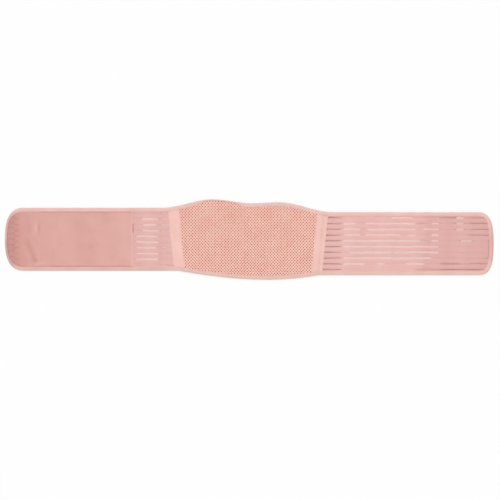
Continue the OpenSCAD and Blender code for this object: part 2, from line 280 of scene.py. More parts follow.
def linear(red, green, blue):
    """A colour written as 0 to 255 screen values."""
    return tuple((c / 255 / 12.92) if c <= 10.3 else ((c / 255 + 0.055) / 1.055) ** 2.4
                 for c in (red, green, blue)) + (1,)


def cloth_finish(name, light, dark, yarns, bump, unevenness=0.6, roughness=0.9, sheen=0.15):
    """A cloth of two close colours: yarns gives the yarns per metre along and across the UV."""
    finish = bpy.data.materials.new(name)
    finish.use_nodes = True
    tree = finish.node_tree
    place = add_node(tree, "UVMap").outputs[0]
    ground = add_node(tree, "Group", {"Place": place, "Yarns along": yarns[0], "Yarns across": yarns[1],
                                      "Unevenness": unevenness}, node_tree=weave).outputs
    # The colour runs from the dark to the light one with the yarns' height, a painted shade low between the
    # yarns, and with broad blotches of uneven tone
    yarn_height = add_node(tree, "MapRange", {"Value": ground["Height"], "From Min": -0.5, "From Max": 0.9})
    lightness = add_math(tree, "MULTIPLY_ADD", yarn_height.outputs["Result"], 0.45,
                         add_math(tree, "MULTIPLY", ground["Blotch"], 1.1))
    colour = add_node(tree, "Mix", {0: lightness, 6: linear(*dark), 7: linear(*light)}, data_type="RGBA")
    # A painted shade: 0 leaves the colour alone, less deepens it as in a fold, more pales it
    shade = add_node(tree, "Attribute", attribute_name="shade").outputs["Fac"]
    power, share = (add_math(tree, "MULTIPLY_ADD", shade, slope, 1) for slope in (-0.6, 0.4))
    deepened = add_node(tree, "Gamma", {"Color": colour.outputs[2], "Gamma": power})
    dimmed = add_node(tree, "VectorMath", {0: deepened.outputs[0], "Scale": share}, operation="SCALE")
    relief = add_node(tree, "Bump", {"Strength": 1, "Distance": bump, "Height": ground["Height"]})
    feed(tree, tree.nodes["Principled BSDF"], {
        "Base Color": dimmed.outputs[0], "Normal": relief.outputs[0], "Roughness": roughness,
        "Sheen Weight": sheen, "Specular IOR Level": 0.25})
    return finish


def paint(piece, shade_at):
    """Writes the painted shade of each point; shade_at takes arrays of x, y and z."""
    points = points_of(piece)
    layer = piece.data.attributes.new("shade", "FLOAT", "POINT")
    layer.data.foreach_set("value", (shade_at(*points.T) + np.zeros(len(points))).astype(np.float32))


def mound(x, at, wide, power=2):
    """1 at one place, falling to 0 on either side of it."""
    return np.exp(-(((x - at) / wide) ** power))


# Each stay lies in a channel between two rows of stitches
stay_offsets, channel_half = (32 * mm, 108 * mm), 8.8 * mm
channel_offsets = [side * away + edge for side in (-1, 1) for away in stay_offsets
                   for edge in (-channel_half, channel_half)]
lining_thick, lining_tuck = 0.8 * mm, 2.5 * mm


def lining_height(x, y):
    sewn = sum(mound(x - spine_x, offset, 1.6 * mm) for offset in channel_offsets)
    return lining_top + 0.25 * mm * sewn


lining_knit = cloth_finish("brushed_lining", (236, 204, 192), (214, 176, 164), (620, 620), 0.00012, 0.9)
lining = panel_sheet("lining", lining_height, lining_thick, lining_tuck, columns=180)
lining.data.materials.append(lining_knit)
lining_names = {"left_panel_bend": "lining_left", "right_panel_bend": "lining_right"}
for joint, part in cut_at_joints(lining, lining_names).items():
    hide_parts(joint.split("_")[0] + "_lining", "centre_lining")

# ---- Stays, their caps and pockets -------------------------------------------------------
# Four flat spring-steel strips keep the panel from rolling up. Each end is dipped in a soft cap,
# and each strip slides into a woven pocket sewn to the lining, so nothing of them shows outside.
stay_z = lining_top + 1.05 * mm
cap_length, cap_thick, cap_over, cap_inside = 12 * mm, 1.5 * mm, 0.5 * mm, 5.7 * mm
pocket_thick = 1.75 * mm
steel = bpy.data.materials.new("spring_steel")
steel.use_nodes = True
steel_tree = steel.node_tree
steel_place = add_node(steel_tree, "UVMap").outputs[0]
drawn = add_node(steel_tree, "Mapping", {"Vector": steel_place, "Scale": (40, 1, 1)})
brushed = add_node(steel_tree, "TexNoise", {"Vector": drawn.outputs[0], "Scale": 60})
gloss = add_node(steel_tree, "MapRange", {"Value": brushed.outputs["Fac"], "To Min": 0.28, "To Max": 0.5})
feed(steel_tree, steel_tree.nodes["Principled BSDF"], {
    "Roughness": gloss.outputs["Result"], "Base Color": linear(178, 181, 186), "Metallic": 1})
cap_vinyl = cloth_finish("dipped_vinyl", (240, 240, 234), (226, 224, 216), (90, 90), 0.00002, 1.0, 0.45, 0)
pocket_weave = cloth_finish("pocket_tape", (240, 228, 218), (218, 202, 190), (900, 700), 0.00010)


def rounded_strip(name, width, length, thickness, x, y):
    """A flat strip with round ends: a cube, stretched, with its four upright edges bevelled."""
    bpy.ops.mesh.primitive_cube_add(size=1)
    strip = bpy.context.object
    strip.name = strip.data.name = name
    strip.scale = (width, length, thickness)
    bpy.ops.object.transform_apply(location=False, rotation=False, scale=True)
    strip.data.transform(Matrix.Translation((x, y, stay_z)))
    bpy.ops.object.mode_set(mode="EDIT")
    bpy.ops.mesh.select_mode(type="EDGE")
    bpy.ops.mesh.select_all(action="DESELECT")
    bpy.ops.object.mode_set(mode="OBJECT")
    for edge in strip.data.edges:
        a, b = (strip.data.vertices[i].co for i in edge.vertices)
        edge.select = abs(a.z - b.z) > thickness / 2
    bpy.ops.object.mode_set(mode="EDIT")
    bpy.ops.mesh.bevel(offset=width * 0.45, segments=6)
    bpy.ops.mesh.select_mode(type="VERT")
    bpy.ops.object.mode_set(mode="OBJECT")
    return strip


for place_name in ("inner_left", "inner_right", "outer_left", "outer_right"):
    depth, word = place_name.split("_")
    low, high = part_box(place_name + "_stay")
    x, y, width, length = (low.x + high.x) / 2, (low.y + high.y) / 2, high.x - low.x, high.y - low.y
    strip = rounded_strip(place_name + "_spring_strip", width, length, high.z - low.z, x, y)
    caps, far_cap = (rounded_strip(f"{place_name}_cap_{end}", width + cap_over, cap_length, cap_thick,
                                   x, y + end * (length / 2 - cap_inside)) for end in (-1, 1))
    only(caps)
    far_cap.select_set(True)
    bpy.ops.object.join()
    caps.name = caps.data.name = place_name + "_stay_caps"
    low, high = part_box(place_name + "_pocket")
    pocket = rounded_strip(place_name + "_pocket_tube", high.x - low.x, high.y - low.y, pocket_thick, x, y)
    tips_node = "centre_stay_tips" if depth == "inner" else word + "_stay_tips"
    for piece, finish, slot, node in ((strip, steel, "stay_steel", place_name + "_stay"),
                                      (caps, cap_vinyl, "stay_tip", tips_node),
                                      (pocket, pocket_weave, "stay_pocket", place_name + "_pocket")):
        piece.data.materials.append(finish)
        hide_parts(node)
        bend_with(piece)

# ---- Spacer core -------------------------------------------------------------------------
# A springy open knit between lining and face. It is coloured much darker than the cloth around it: a painted
# shade for the shadow down in the openings of the mesh, through which it shows.
core_thick, core_tuck = 2.2 * mm, 3.5 * mm
core_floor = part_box("centre_core")[0].z + 0.06 * mm
# Its dark colours are a painted shade for the depth of the mesh's openings
spacer_knit = cloth_finish("spacer_knit", (158, 86, 70), (116, 58, 46), (330, 330), 0.0004, 1.0, 0.95, 0.05)
core = panel_sheet("core", lambda x, y: cloth_top(x, y) - (face_top - face_base) - 0.05 * mm,
                   core_thick, core_tuck)
for vertex in core.data.vertices:
    vertex.co.z = max(vertex.co.z, core_floor)
core.data.materials.append(spacer_knit)
core_names = {"left_panel_bend": "spacer_core_left", "right_panel_bend": "spacer_core_right"}
for joint, part in cut_at_joints(core, core_names).items():
    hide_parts(joint.split("_")[0] + "_core", "centre_core")

# ---- Face mesh ---------------------------------------------------------------------------
# An air mesh knitted with staggered openings, each ringed by raised loops of yarn.
# One opening is modelled in its cell and repeated over the panel; the rim goes under the binding.
cell_wide, cell_high = 3.09 * mm, 6.83 * mm
hole_half_x, hole_half_y = 1.07 * mm, 1.33 * mm
mesh_thick, rim_under, mesh_tuck = 1.05 * mm, 2 * mm, 1.7 * mm


def mesh_cell():
    """The points and faces of one opening: a ring of eight round the hole, bridged to the cell's border."""
    rim, land, border, faces = [], [], [], []
    for k in range(8):
        angle = math.radians(45 * k)
        along, across = math.cos(angle), math.sin(angle)
        reach = min(cell_wide / 2 / max(abs(along), 1e-6), cell_high / 2 / max(abs(across), 1e-6))
        corner = (math.copysign(cell_wide / 2, along), math.copysign(cell_high / 2, across))
        edge = corner if k % 2 else (reach * along, reach * across)
        hole = (hole_half_x * along, hole_half_y * across)
        rim.append((*hole, -0.34 * mm))
        land.append((hole[0] * 0.45 + edge[0] * 0.55, hole[1] * 0.6 + edge[1] * 0.4, 0.10 * mm))
        border.append((*edge, 0.16 * mm if k % 2 else 0.04 * mm))
        following = (k + 1) % 8
        faces.append((k, 8 + k, 8 + following, following))
        faces.append((8 + k, 16 + k, 16 + following, 8 + following))
    return np.array(rim + land + border), np.array(faces)


def from_points(name, points, faces):
    """A piece made from points and faces, with the UVs of a sheet that lies flat."""
    mesh = bpy.data.meshes.new(name)
    mesh.from_pydata(points.tolist(), [], faces)
    piece = bpy.data.objects.new(name, mesh)
    bpy.context.collection.objects.link(piece)
    lay_uv(piece, points[:, :2])
    only(piece)
    return piece


cell_points, cell_faces = mesh_cell()
mesh_yarn = cloth_finish("air_mesh_yarn", (255, 206, 191), (250, 172, 153), (1500, 1300), 0.00008, 0.8)
for side, word in side_word.items():
    places = []
    for i in range(52):
        column = i if side > 0 else -1 - i
        x = spine_x + side * (i + 0.5) * cell_wide
        for j in range(-14, 14):
            y = middle_y(spine_x) + (j + 0.5 * (column % 2)) * cell_high
            inside = bottom_y(x) + 0.6 * mm < y < top_y(x) - 0.6 * mm
            if inside and side * (x - seam_x(side, y)) < -rim_under:
                places.append((x, y, 0))
    places = np.array(places)
    points = (cell_points[None] + places[:, None]).reshape(-1, 3)
    faces = (cell_faces[None] + len(cell_points) * np.arange(len(places))[:, None, None]).reshape(-1, 4)
    face = from_points("face_mesh_" + word, points, faces.tolist())
    on_all(face, bpy.ops.mesh.remove_doubles, threshold=0.02 * mm)
    flat = points_of(face)
    flat[:, 1] = np.clip(flat[:, 1], bottom_y(flat[:, 0]) + mesh_tuck, top_y(flat[:, 0]) - mesh_tuck)
    flat[:, 2] += cloth_top(flat[:, 0], flat[:, 1])
    face.data.vertices.foreach_set("co", flat.ravel())
    on_all(face, bpy.ops.mesh.dissolve_degenerate, threshold=0.05 * mm)
    on_all(face, bpy.ops.mesh.extrude_region_move, TRANSFORM_OT_translate={"value": (0, 0, -mesh_thick)})
    on_all(face, bpy.ops.mesh.normals_make_consistent, inside=False)
    bpy.ops.object.shade_smooth_by_angle(angle=math.radians(60))
    face.data.materials.append(mesh_yarn)
    bend_with(face)
    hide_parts(word + "_face", "centre_face")

# ---- Openwork elastic --------------------------------------------------------------------
# Both wings are one knitted elastic: eleven dense bands with ten rows of openings between them,
# where only fine cross threads bridge the gap. It runs on under the pad and over the hook patch.
row_count, row_pitch = 10, 12.36 * mm
open_half = 0.76 * mm
row_ys = [(row - (row_count - 1) / 2) * row_pitch for row in range(row_count)]
end_form = {-1: (43 * mm, 2.6), 1: (34.4 * mm, 2.8)}  # how long each rounded end is, and how square
pad_outer_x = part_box("loop_pad_outer")[0].x
patch_low, patch_high = (corner.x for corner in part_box("hook_patch"))
backing_outer = {-1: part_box("left_backing_strip")[0].x, 1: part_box("right_backing_strip")[1].x}
closed_from = patch_low + 5 * mm
elastic_knit = cloth_finish("knitted_elastic", (240, 193, 187), (221, 165, 159), (260, 800), 0.00016, 0.7)


def end_half(side, x, margin=0.0):
    """Half the belt's height, less margin, at x near an end; each end is a squared-off round."""
    length, square = end_form[side]
    inward = np.clip(1 - side * (tip_x[side] - x) / length, 0, 1)
    return np.maximum(wing_half * (1 - inward ** square) ** (1 / square) - margin, 0)


def span(x, start, end, soft=1.6 * mm):
    """1 between start and end, falling softly to 0 outside."""
    return ease((x - start) / soft + 0.5) * ease((end - x) / soft + 0.5)


# In these tables a row of openings is given by its side and its number from the bottom, and each
# stretch along it by where it starts and ends, in millimetres.
# Where a row is drawn shut by the knit's tension
drawn_shut = {
    (-1, 9): [(-248, -188)], (-1, 8): [(-246, -230)], (-1, 7): [(-246, -227), (-200, -192)],
    (-1, 6): [(-246, -229)], (-1, 3): [(-201, -192)], (-1, 0): [(-248, -196)],
    (1, 9): [(200, 306), (351, 441), (463, 472)], (1, 8): [(228, 251), (357, 393), (410, 442), (463, 476)],
    (1, 7): [(238, 254), (357, 375), (408, 442), (463, 478)], (1, 4): [(408, 515)],
    (1, 6): [(238, 250), (325, 341), (357, 392), (408, 470)], (1, 5): [(368, 392), (408, 451), (481, 515)],
    (1, 3): [(200, 218), (306, 311), (408, 515)], (1, 2): [(390, 414), (408, 506)],
    (1, 1): [(248, 276), (290, 338), (376, 414), (447, 474)], (1, 0): [(203, 414), (455, 470)]}
# Short openings that stay wide over the patch, with painted light on the patch under them and along their
# edges
gaping = {(1, 9): [(445, 461)], (1, 8): [(445, 461)], (1, 7): [(445, 461)], (1, 5): [(454, 479)]}
# Where a row is pressed flat, so that the bands on either side run into one another
pressed_flat = {(-1, row): [(-190, -150)] for row in (1, 2, 3, 4, 5)}
pressed_flat |= {(1, row): [(408, 515)] for row in (2, 3, 4, 6)}
pressed_flat |= {(1, 9): [(200, 300)], (1, 8): [(412, 440)], (1, 7): [(412, 440), (463, 476)],
                 (1, 5): [(408, 450), (484, 515)], (1, 1): [(462, 474)], (1, 0): [(210, 350)]}


def spans(table, side, row, x, soft):
    """The span of each stretch that a table gives for one row."""
    return [span(x, start * mm, end * mm, soft) for start, end in table.get((side, row), ())]


def slit_half(side, row, x):
    """Half the width of one opening along the belt: it wanders, and is drawn shut where it is sewn across."""
    phase = 1.7 * row + (0.4 if side < 0 else 2.1)
    wander = 0.22 * np.sin(x / (19 * mm) + phase) + 0.16 * np.sin(x / (7.3 * mm) + 2.3 * phase)
    from_seam = side * (x - (spine_x + side * seam_half))
    beside_tape = 1 - ease((from_seam - 12 * mm) / (30 * mm))
    wider = 0.75 if side > 0 else (0.2 if row > 5 else -0.92)
    width = open_half * (1 + wander) * (1 + wider * beside_tape)
    shut = [mound(x, backing_outer[side] + side * 0.8 * mm, 4.0 * mm, 4)]
    if side > 0:
        width = width * (1 - 0.35 * ease((x - closed_from + 8 * mm) / (10 * mm)))
        shut.append(0.8 * mound(x, closed_from, 3.6 * mm, 4))
    else:
        shut += [mound(x, pad_inner_x, 7.5 * mm, 4), 1.05 * (x < pad_outer_x + mm)]
    shut = np.max(shut + spans(drawn_shut, side, row, x, 5 * mm), axis=0)
    for held_open in spans(gaping, side, row, x, 4 * mm):
        width = np.maximum(width, 1.2 * mm * held_open)
    overlap = 0.16 * mm * (x < pad_outer_x + mm) if side < 0 else 0
    return width * (1 - 0.93 * shut) + 0.02 * mm - overlap


def flatness(side, row, x):
    """1 where the groove along a row is pressed flat."""
    return sum(spans(pressed_flat, side, row, x, 6 * mm), 0 * x)


def slit_middle(side, row, x):
    phase = 2.9 * row + side
    wander = 0.35 * mm * np.sin(x / (31 * mm) + phase) + 0.2 * mm * np.sin(x / (13 * mm) + 1.9 * phase)
    return wing_y[side] + row_ys[row] + wander


def tube(name, rings, uv):
    """A closed skin through rings of points: a grid rolled up, its seam merged and its ends filled."""
    rows, columns = rings.shape[0] - 1, rings.shape[1]
    wrapped = np.concatenate([rings, rings[:, :1]], axis=1)

    def place(u, v):
        i, j = np.rint(v * rows).astype(int), np.rint(u * columns).astype(int)
        return wrapped[i, j], uv[i, j]
    piece = shaped_grid(name, columns, rows, place)
    on_all(piece, bpy.ops.mesh.remove_doubles, threshold=0.001 * mm)
    on_all(piece, bpy.ops.mesh.fill_holes, sides=0)
    on_all(piece, bpy.ops.mesh.normals_make_consistent, inside=False)
    return piece


def ring_uv(rings):
    """Real-size UVs of a tube: distance along it, and distance round it from the ring's first point."""
    steps = np.linalg.norm(np.diff(rings.mean(1), axis=0), axis=1)
    length = np.concatenate([[0], np.cumsum(steps)])
    ring = np.concatenate([rings[len(rings) // 2], rings[len(rings) // 2][:1]])
    round_it = np.concatenate([[0], np.cumsum(np.linalg.norm(np.diff(ring, axis=0), axis=1))])
    return np.stack(np.meshgrid(length, round_it, indexing="ij"), axis=2)


# A band's outline: how far across it each point lies, and its height in millimetres from the wing's top
band_section = [(0.0, -0.45), (0.14, 0.0), (0.5, 0.12), (0.86, 0.0), (1.0, -0.45),
                (1.0, -1.15), (0.85, -1.55), (0.5, -1.6), (0.15, -1.55), (0.0, -1.15)]


def gathered_at(x, soft, beyond=0.0):
    """1 where the elastic is gathered, between the pad and the loop-side end."""
    return span(x, tip_x[-1] - 20 * mm, pad_outer_x + beyond, soft)


def elastic_wing(side):
    """One wing: its bands, each a tube from the seam to the end binding, joined in one piece."""
    bands = []
    bottom, top = wing_y[side] - wing_half, wing_y[side] + wing_half
    coarse, fine = 2.5 * mm, 1.2 * mm  # from ring to ring, along the wing and round its end
    round_end = tip_x[side] - side * 46 * mm
    for band in range(row_count + 1):
        band_y = (band - row_count / 2) * row_pitch
        xs = tip_x[side] - side * np.arange(2 * mm, 42 * mm, 0.5 * mm)
        finish = xs[end_half(side, xs, 2.5 * mm) > abs(band_y) - row_pitch / 2 + 0.5 * mm][0]
        start = seam_x(side, wing_y[side] + band_y) + side * 1.5 * mm
        x = np.concatenate([np.linspace(start, round_end, int(abs(round_end - start) / coarse)),
                            np.linspace(round_end, finish, int(abs(round_end - finish) / fine) + 2)[1:]])
        room = end_half(side, x, 2 * mm)
        low = slit_middle(side, band - 1, x) + slit_half(side, band - 1, x) if band > 0 else bottom + 0 * x
        high = slit_middle(side, band, x) - slit_half(side, band, x) if band < row_count else top + 0 * x
        low, high = np.maximum(low, wing_y[side] - room), np.minimum(high, wing_y[side] + room)
        high = np.maximum(high, low + 0.3 * mm)
        gathered = gathered_at(x, 6 * mm) if side < 0 else 0 * x
        swell = 0.10 * mm * np.sin(x / (47 * mm) + 0.8 * band) - 0.5 * mm * gathered
        flat_low, flat_high = (0.85 * flatness(side, row, x) for row in (band - 1, band))
        rings = []
        for across, height in band_section:
            upper = height > -1
            pressed = 1 - np.where(across < 0.5, flat_low, flat_high) * (across != 0.5)
            rise = height * mm * ((1 + 0.5 * gathered) * pressed if upper else 1)
            rings.append(np.stack([x, low + (high - low) * across, wing_top + rise + swell * upper], 1))
        rings = np.stack(rings, axis=1)
        bands.append(tube(f"band_{band}", rings, ring_uv(rings)))
    only(bands[0])
    for band in bands[1:]:
        band.select_set(True)
    bpy.ops.object.join()
    bands[0].data.materials.append(elastic_knit)
    return bands[0]


# Hook-side rows that are drawn shut into a fold, with a painted shade along it: row, from x to x, and how
# dark the painted shade is
fold_shadows = ((0, 359, 512, 0.3), (1, 410, 452, 0.3), (8, 359, 376, 0.3), (8, 476, 510, 0.2),
              (9, 410, 441, 0.3))
edge_reach = 2.2 * mm


def elastic_shade(x, y, z):
    """Painted shade and light on the knit: painted shade where it is gathered beside the pad, most between
    the bands, in the folds, and low on the bands' sides; a dark line, part stitching and part painted shadow,
    along the hook-side end binding; darker towards the hook end and over the outer loop-side wing; and
    painted light along openings that light comes through."""
    side = 1 if x.mean() > 0 else -1
    between_bands = np.abs(np.abs((y - wing_y[-1]) / row_pitch) % 1 - 0.5) * 2
    # Painted shade where the knit is gathered beside the pad, deepest between the bands
    gathered = gathered_at(x, 7 * mm, beyond=2 * mm) * (0.27 + 0.26 * between_bands ** 3)
    outward = ease((x - 290 * mm) / (180 * mm)) + 0.5 * ease((-170 * mm - x) / (20 * mm))
    # A dark line along the inner edge of the hook-side end binding: part stitching, part painted shadow
    rim_stitch_and_shadow = mound(x, tip_x[1] - 10.5 * mm, 1.5 * mm) * span(y, -52 * mm, 0, 8 * mm)
    clear = (x > backing_outer[1]) & (x < closed_from) | (x < backing_outer[-1]) & (x > pad_inner_x)
    # Painted shade low on the bands' sides, and painted light along them where an opening lets light through
    edge_light_and_shade = -0.15 + 0 * x
    for row in range(row_count):
        beside = np.abs(y - slit_middle(side, row, x)) < edge_reach
        wide = sum(spans(gaping, side, row, x, 1.6 * mm), 0 * x)
        seen_through = (clear | (wide > 0.5)) & (slit_half(side, row, x) > 0.4 * mm)
        edge_light_and_shade = np.where(seen_through & beside, 0.45, edge_light_and_shade)
    low_in_band = np.clip((wing_top - z) / (0.6 * mm), 0, 1)
    # Painted shade along the folds
    folds = sum(deep * span(x, start * mm, end * mm, 8 * mm) * mound(y, wing_y[1] + row_ys[row], 1.3 * mm)
                for row, start, end, deep in fold_shadows)
    return edge_light_and_shade * low_in_band - gathered - 0.17 * outward - 0.3 * rim_stitch_and_shadow - folds


elastic_parts = {
    "left_wing_fold": ("elastic_left_root", ["left_side_elastic"]),
    "left_stretch": ("elastic_left_bare", ["left_wing_elastic"]),
    "left_pad_inner_fold": ("elastic_left_under_pad", ["left_pad_elastic"]),
    "left_pad_outer_fold": ("elastic_left_end", ["left_tail_elastic", "left_end_elastic"]),
    "right_wing_fold": ("elastic_right_root", ["right_side_elastic"]),
    "right_middle_fold": ("elastic_right_inner", ["right_wing_elastic"]),
    "right_stretch": ("elastic_right_outer", ["right_reach_elastic", "right_tail_elastic"]),
    "right_end_fold": ("elastic_right_end", ["right_end_elastic"]),
}
for side, word in side_word.items():
    names = {joint: name for joint, (name, _) in elastic_parts.items() if joint.startswith(word)}
    for joint, part in cut_at_joints(elastic_wing(side), names).items():
        xs = points_of(part)[:, 0]
        paint(part, elastic_shade)
        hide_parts(*elastic_parts[joint][1])

# The cross threads that hold the bands together over each opening. They stand close where light comes
# through it, and further apart where the backing, the pad or the patch lies behind.
thread_radius, thread_depth, thread_pitch = 0.25 * mm, 0.42 * mm, 0.54 * mm
bpy.ops.mesh.primitive_cylinder_add(vertices=5, radius=thread_radius, depth=1 * mm,
                                    rotation=(math.pi / 2, 0, 0))
thread_unit = bpy.context.object
bpy.ops.object.transform_apply(location=False, rotation=True, scale=False)
bpy.ops.transform.resize(value=(1, 1, 0.45))
bpy.ops.object.transform_apply(location=False, rotation=False, scale=True)
# Their near-white colour is partly the pale thread itself and partly painted light, for light coming through
# the openings and the threads' shine
cross_thread = cloth_finish("cross_thread", (255, 229, 222), (255, 217, 209), (2000, 2000), 0.00002, 0.5)


def repeat(name, unit, places, turns=0.0, lengths=1.0):
    """Copies of a small unit's mesh at each place, turned about Z and drawn out along Y."""
    base = points_of(unit)
    faces = [tuple(face.vertices) for face in unit.data.polygons]
    places = np.asarray(places, float)
    turns, lengths = (np.broadcast_to(each, len(places))[:, None] for each in (turns, lengths))
    x, y = base[None, :, 0], base[None, :, 1] * lengths
    c, s = np.cos(turns), np.sin(turns)
    points = np.stack([x * c - y * s, x * s + y * c, base[None, :, 2] + 0 * c], 2)
    points = (points + places[:, None]).reshape(-1, 3)
    every = [tuple(len(base) * k + i for i in face) for k in range(len(places)) for face in faces]
    piece = from_points(name, points, every)
    bpy.ops.object.shade_smooth()
    return piece


for joint, low, high, _, _ in stretches:
    if joint.endswith("panel_bend"):
        continue
    side = -1 if joint.startswith("left") else 1
    places, lengths = [], []
    for row in range(row_count):
        for count, x in enumerate(np.arange(low + 0.5 * mm, high, thread_pitch)):
            half = float(slit_half(side, row, x))
            backed = x < pad_inner_x - 4 * mm if side < 0 else x < backing_outer[side] or x > closed_from
            held_open = any(start * mm < x < end * mm for start, end in gaping.get((side, row), ()))
            shut = half < 0.25 * mm or (backed and not held_open and count % 4)
            outside = end_half(side, x, 4 * mm) < abs(row_ys[row]) or side * (x - seam_x(side, 0)) < 6 * mm
            if not (shut or outside):
                places.append((x, float(slit_middle(side, row, x)), wing_top - thread_depth))
                lengths.append(2 * (half + 0.2 * mm) / mm)
    if places:
        ladder = repeat("cross_threads_" + joint, thread_unit, places, lengths=lengths)
        ladder.data.materials.append(cross_thread)
        bend_with(ladder)
bpy.data.objects.remove(thread_unit)

# ---- Backing strips ----------------------------------------------------------------------
# A strip of plain tape behind each seam closes the openings there and keeps the elastic's raw end
# flat. It is sewn down along its outer edge, where the elastic is drawn shut.
backing_inside, backing_short = 10 * mm, 8 * mm
backing_top, backing_thick = 0.76 * mm, 0.45 * mm
# The tape is coloured darker than the elastic: a painted shade for the shadow down in the openings over it
backing_tape = cloth_finish("backing_tape", (214, 164, 152), (188, 136, 124), (950, 950), 0.00010)
for side, word in side_word.items():
    def backing_place(u, v):
        y = bottom_y(spine_x + side * seam_half) + 2 * wing_half * v
        inner = seam_x(side, y) - side * backing_inside
        x = inner + (backing_outer[side] - inner) * u
        y = bottom_y(x) + backing_short + (top_y(x) - bottom_y(x) - 2 * backing_short) * v
        return laid(x, y, backing_top)

    backing = shaped_grid("backing_strip_" + word, 34, 40, backing_place)
    thicken(backing, backing_thick)
    backing.data.materials.append(backing_tape)
    bend_with(backing)
    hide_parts(word + "_backing_strip")

# ---- Seam tapes --------------------------------------------------------------------------
# A smooth woven tape covers each slanting seam where the thick panel steps down to the elastic.
# It is sewn down by a row along either edge, and its ends go under the edge binding.
tape_half, tape_thick, tape_sewn, tape_short = 12.1 * mm, 0.75 * mm, 9.9 * mm, 3.5 * mm
tape_satin = cloth_finish("seam_tape_satin", (248, 204, 194), (236, 184, 173), (1500, 420), 0.00006,
                          0.5, 0.75, 0.1)


def tape_rise(x, y):
    """How much a tape lifts whatever lies over it."""
    off = np.abs(np.abs(x - spine_x) - np.abs(seam_x(np.where(x < spine_x, -1, 1), y) - spine_x))
    return tape_thick * ease((tape_half + 1.2 * mm - off) / (1.6 * mm))


for side, word in side_word.items():
    def tape_place(u, v):
        across = (u - 0.5) * 2 * tape_half
        y = bottom_y(spine_x + side * seam_half) + 2 * wing_half * v
        for _ in range(3):
            x = seam_x(side, y) + across
            y = bottom_y(x) + tape_short + (top_y(x) - bottom_y(x) - 2 * tape_short) * v
        rolled = np.clip((tape_half - np.abs(across)) / (1.1 * mm), 0, 1)
        rippled = 0.07 * mm * np.sin(y / (5.1 * mm)) * np.sin(across / (4.5 * mm))
        sewn = 0.16 * mm * mound(np.abs(across), tape_sewn, 0.9 * mm)
        z = cloth_top(x, y) + tape_thick * (0.25 + 0.75 * np.sqrt(rolled * (2 - rolled))) + rippled - sewn
        return np.stack([x, y, z], 1), np.stack([across, y], 1)

    tape = shaped_grid("seam_tape_" + word, 34, 150, tape_place)
    thicken(tape, tape_thick * 0.8)
    bpy.ops.object.shade_smooth_by_angle(angle=math.radians(50))
    tape.data.materials.append(tape_satin)
    bend_with(tape)
    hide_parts(word + "_seam_tape")

# ---- Loop pad ----------------------------------------------------------------------------
# The soft landing for the hooks: a brushed loop cloth on thin foam, sewn over the loop-side wing.
# It is a little creased near its outer end, where the belt has been folded.
pad_base, pad_top = (corner.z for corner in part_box("loop_pad_outer"))
pad_margin, pad_round = 8.6 * mm, 1.9 * mm
brushed_loop = cloth_finish("brushed_loop", (227, 173, 164), (211, 154, 146), (420, 380), 0.00022,
                            1.4, 1.0, 0.35)
crease_from, crease_to = np.array((-478, -2)) * mm, np.array((-460, -45)) * mm
# Dents and small humps, in millimetres: x, y, how wide and tall, and how high
pad_dents = ((-458, 25, 4.2, 14, 0.5), (-451.5, 24, 2.2, 11, -0.7), (-472, 22, 6, 18, -0.3),
             (-447, -43, 3, 5, -0.4), (-423, -25, 3, 8, -0.25), (-340, -16, 5, 3, -0.3),
             (-289, 45, 2.4, 4, -0.35), (-487, -52, 4, 3, 0.35))


def pad_relief(x, y):
    """Creases, dents, the slow swell of the foam, and the puckers at its gathered outer end."""
    run = crease_to - crease_from
    t = np.clip(((x - crease_from[0]) * run[0] + (y - crease_from[1]) * run[1]) / (run @ run), 0, 1)
    off = np.hypot(x - crease_from[0] - run[0] * t, y - crease_from[1] - run[1] * t)
    relief = 0.12 * mm * mound(off, 11 * mm, 4 * mm) - 0.85 * mm * (0.3 + 0.7 * t) * mound(off, 0, 5.6 * mm)
    for at_x, at_y, wide, tall, height in pad_dents:
        relief = relief + height * mm * mound(x, at_x * mm, wide * mm) * mound(y, at_y * mm, tall * mm)
    pucker = np.sin(math.pi * (y - wing_y[-1]) / row_pitch) ** 8
    pucker = pucker * ease((pad_outer_x + 13 * mm - x) / (9 * mm))
    swell = 0.10 * mm * np.sin(x / (23 * mm) + 0.6) + 0.07 * mm * np.sin(x / (11 * mm) + y / (40 * mm))
    return relief + swell - 0.6 * mm * pucker


def pad_ring(x):
    """The pad's outline across the belt: its rounded, creased face and its flat back."""
    half = float(min(wing_half - pad_margin, end_half(-1, x, pad_margin)))
    over, under = np.linspace(-1, 1, 90), np.linspace(1, -1, 12)[1:-1]
    from_end = min((x - pad_outer_x) / 1.4, (pad_inner_x - x) / 5)
    edge = np.clip(np.minimum(half * (1 - np.abs(over)), from_end) / pad_round, 0, 1)
    height = pad_base + (pad_top - pad_base - 0.25 * mm) * (0.22 + 0.78 * np.sqrt(edge * (2 - edge)))
    height = height + pad_relief(x, wing_y[-1] + half * over) * edge
    top = np.stack([x + 0 * over, wing_y[-1] + half * over, height], 1)
    bottom = np.stack([x + 0 * under, wing_y[-1] + half * under, pad_base + 0.02 * mm + 0 * under], 1)
    return np.concatenate([top, bottom])


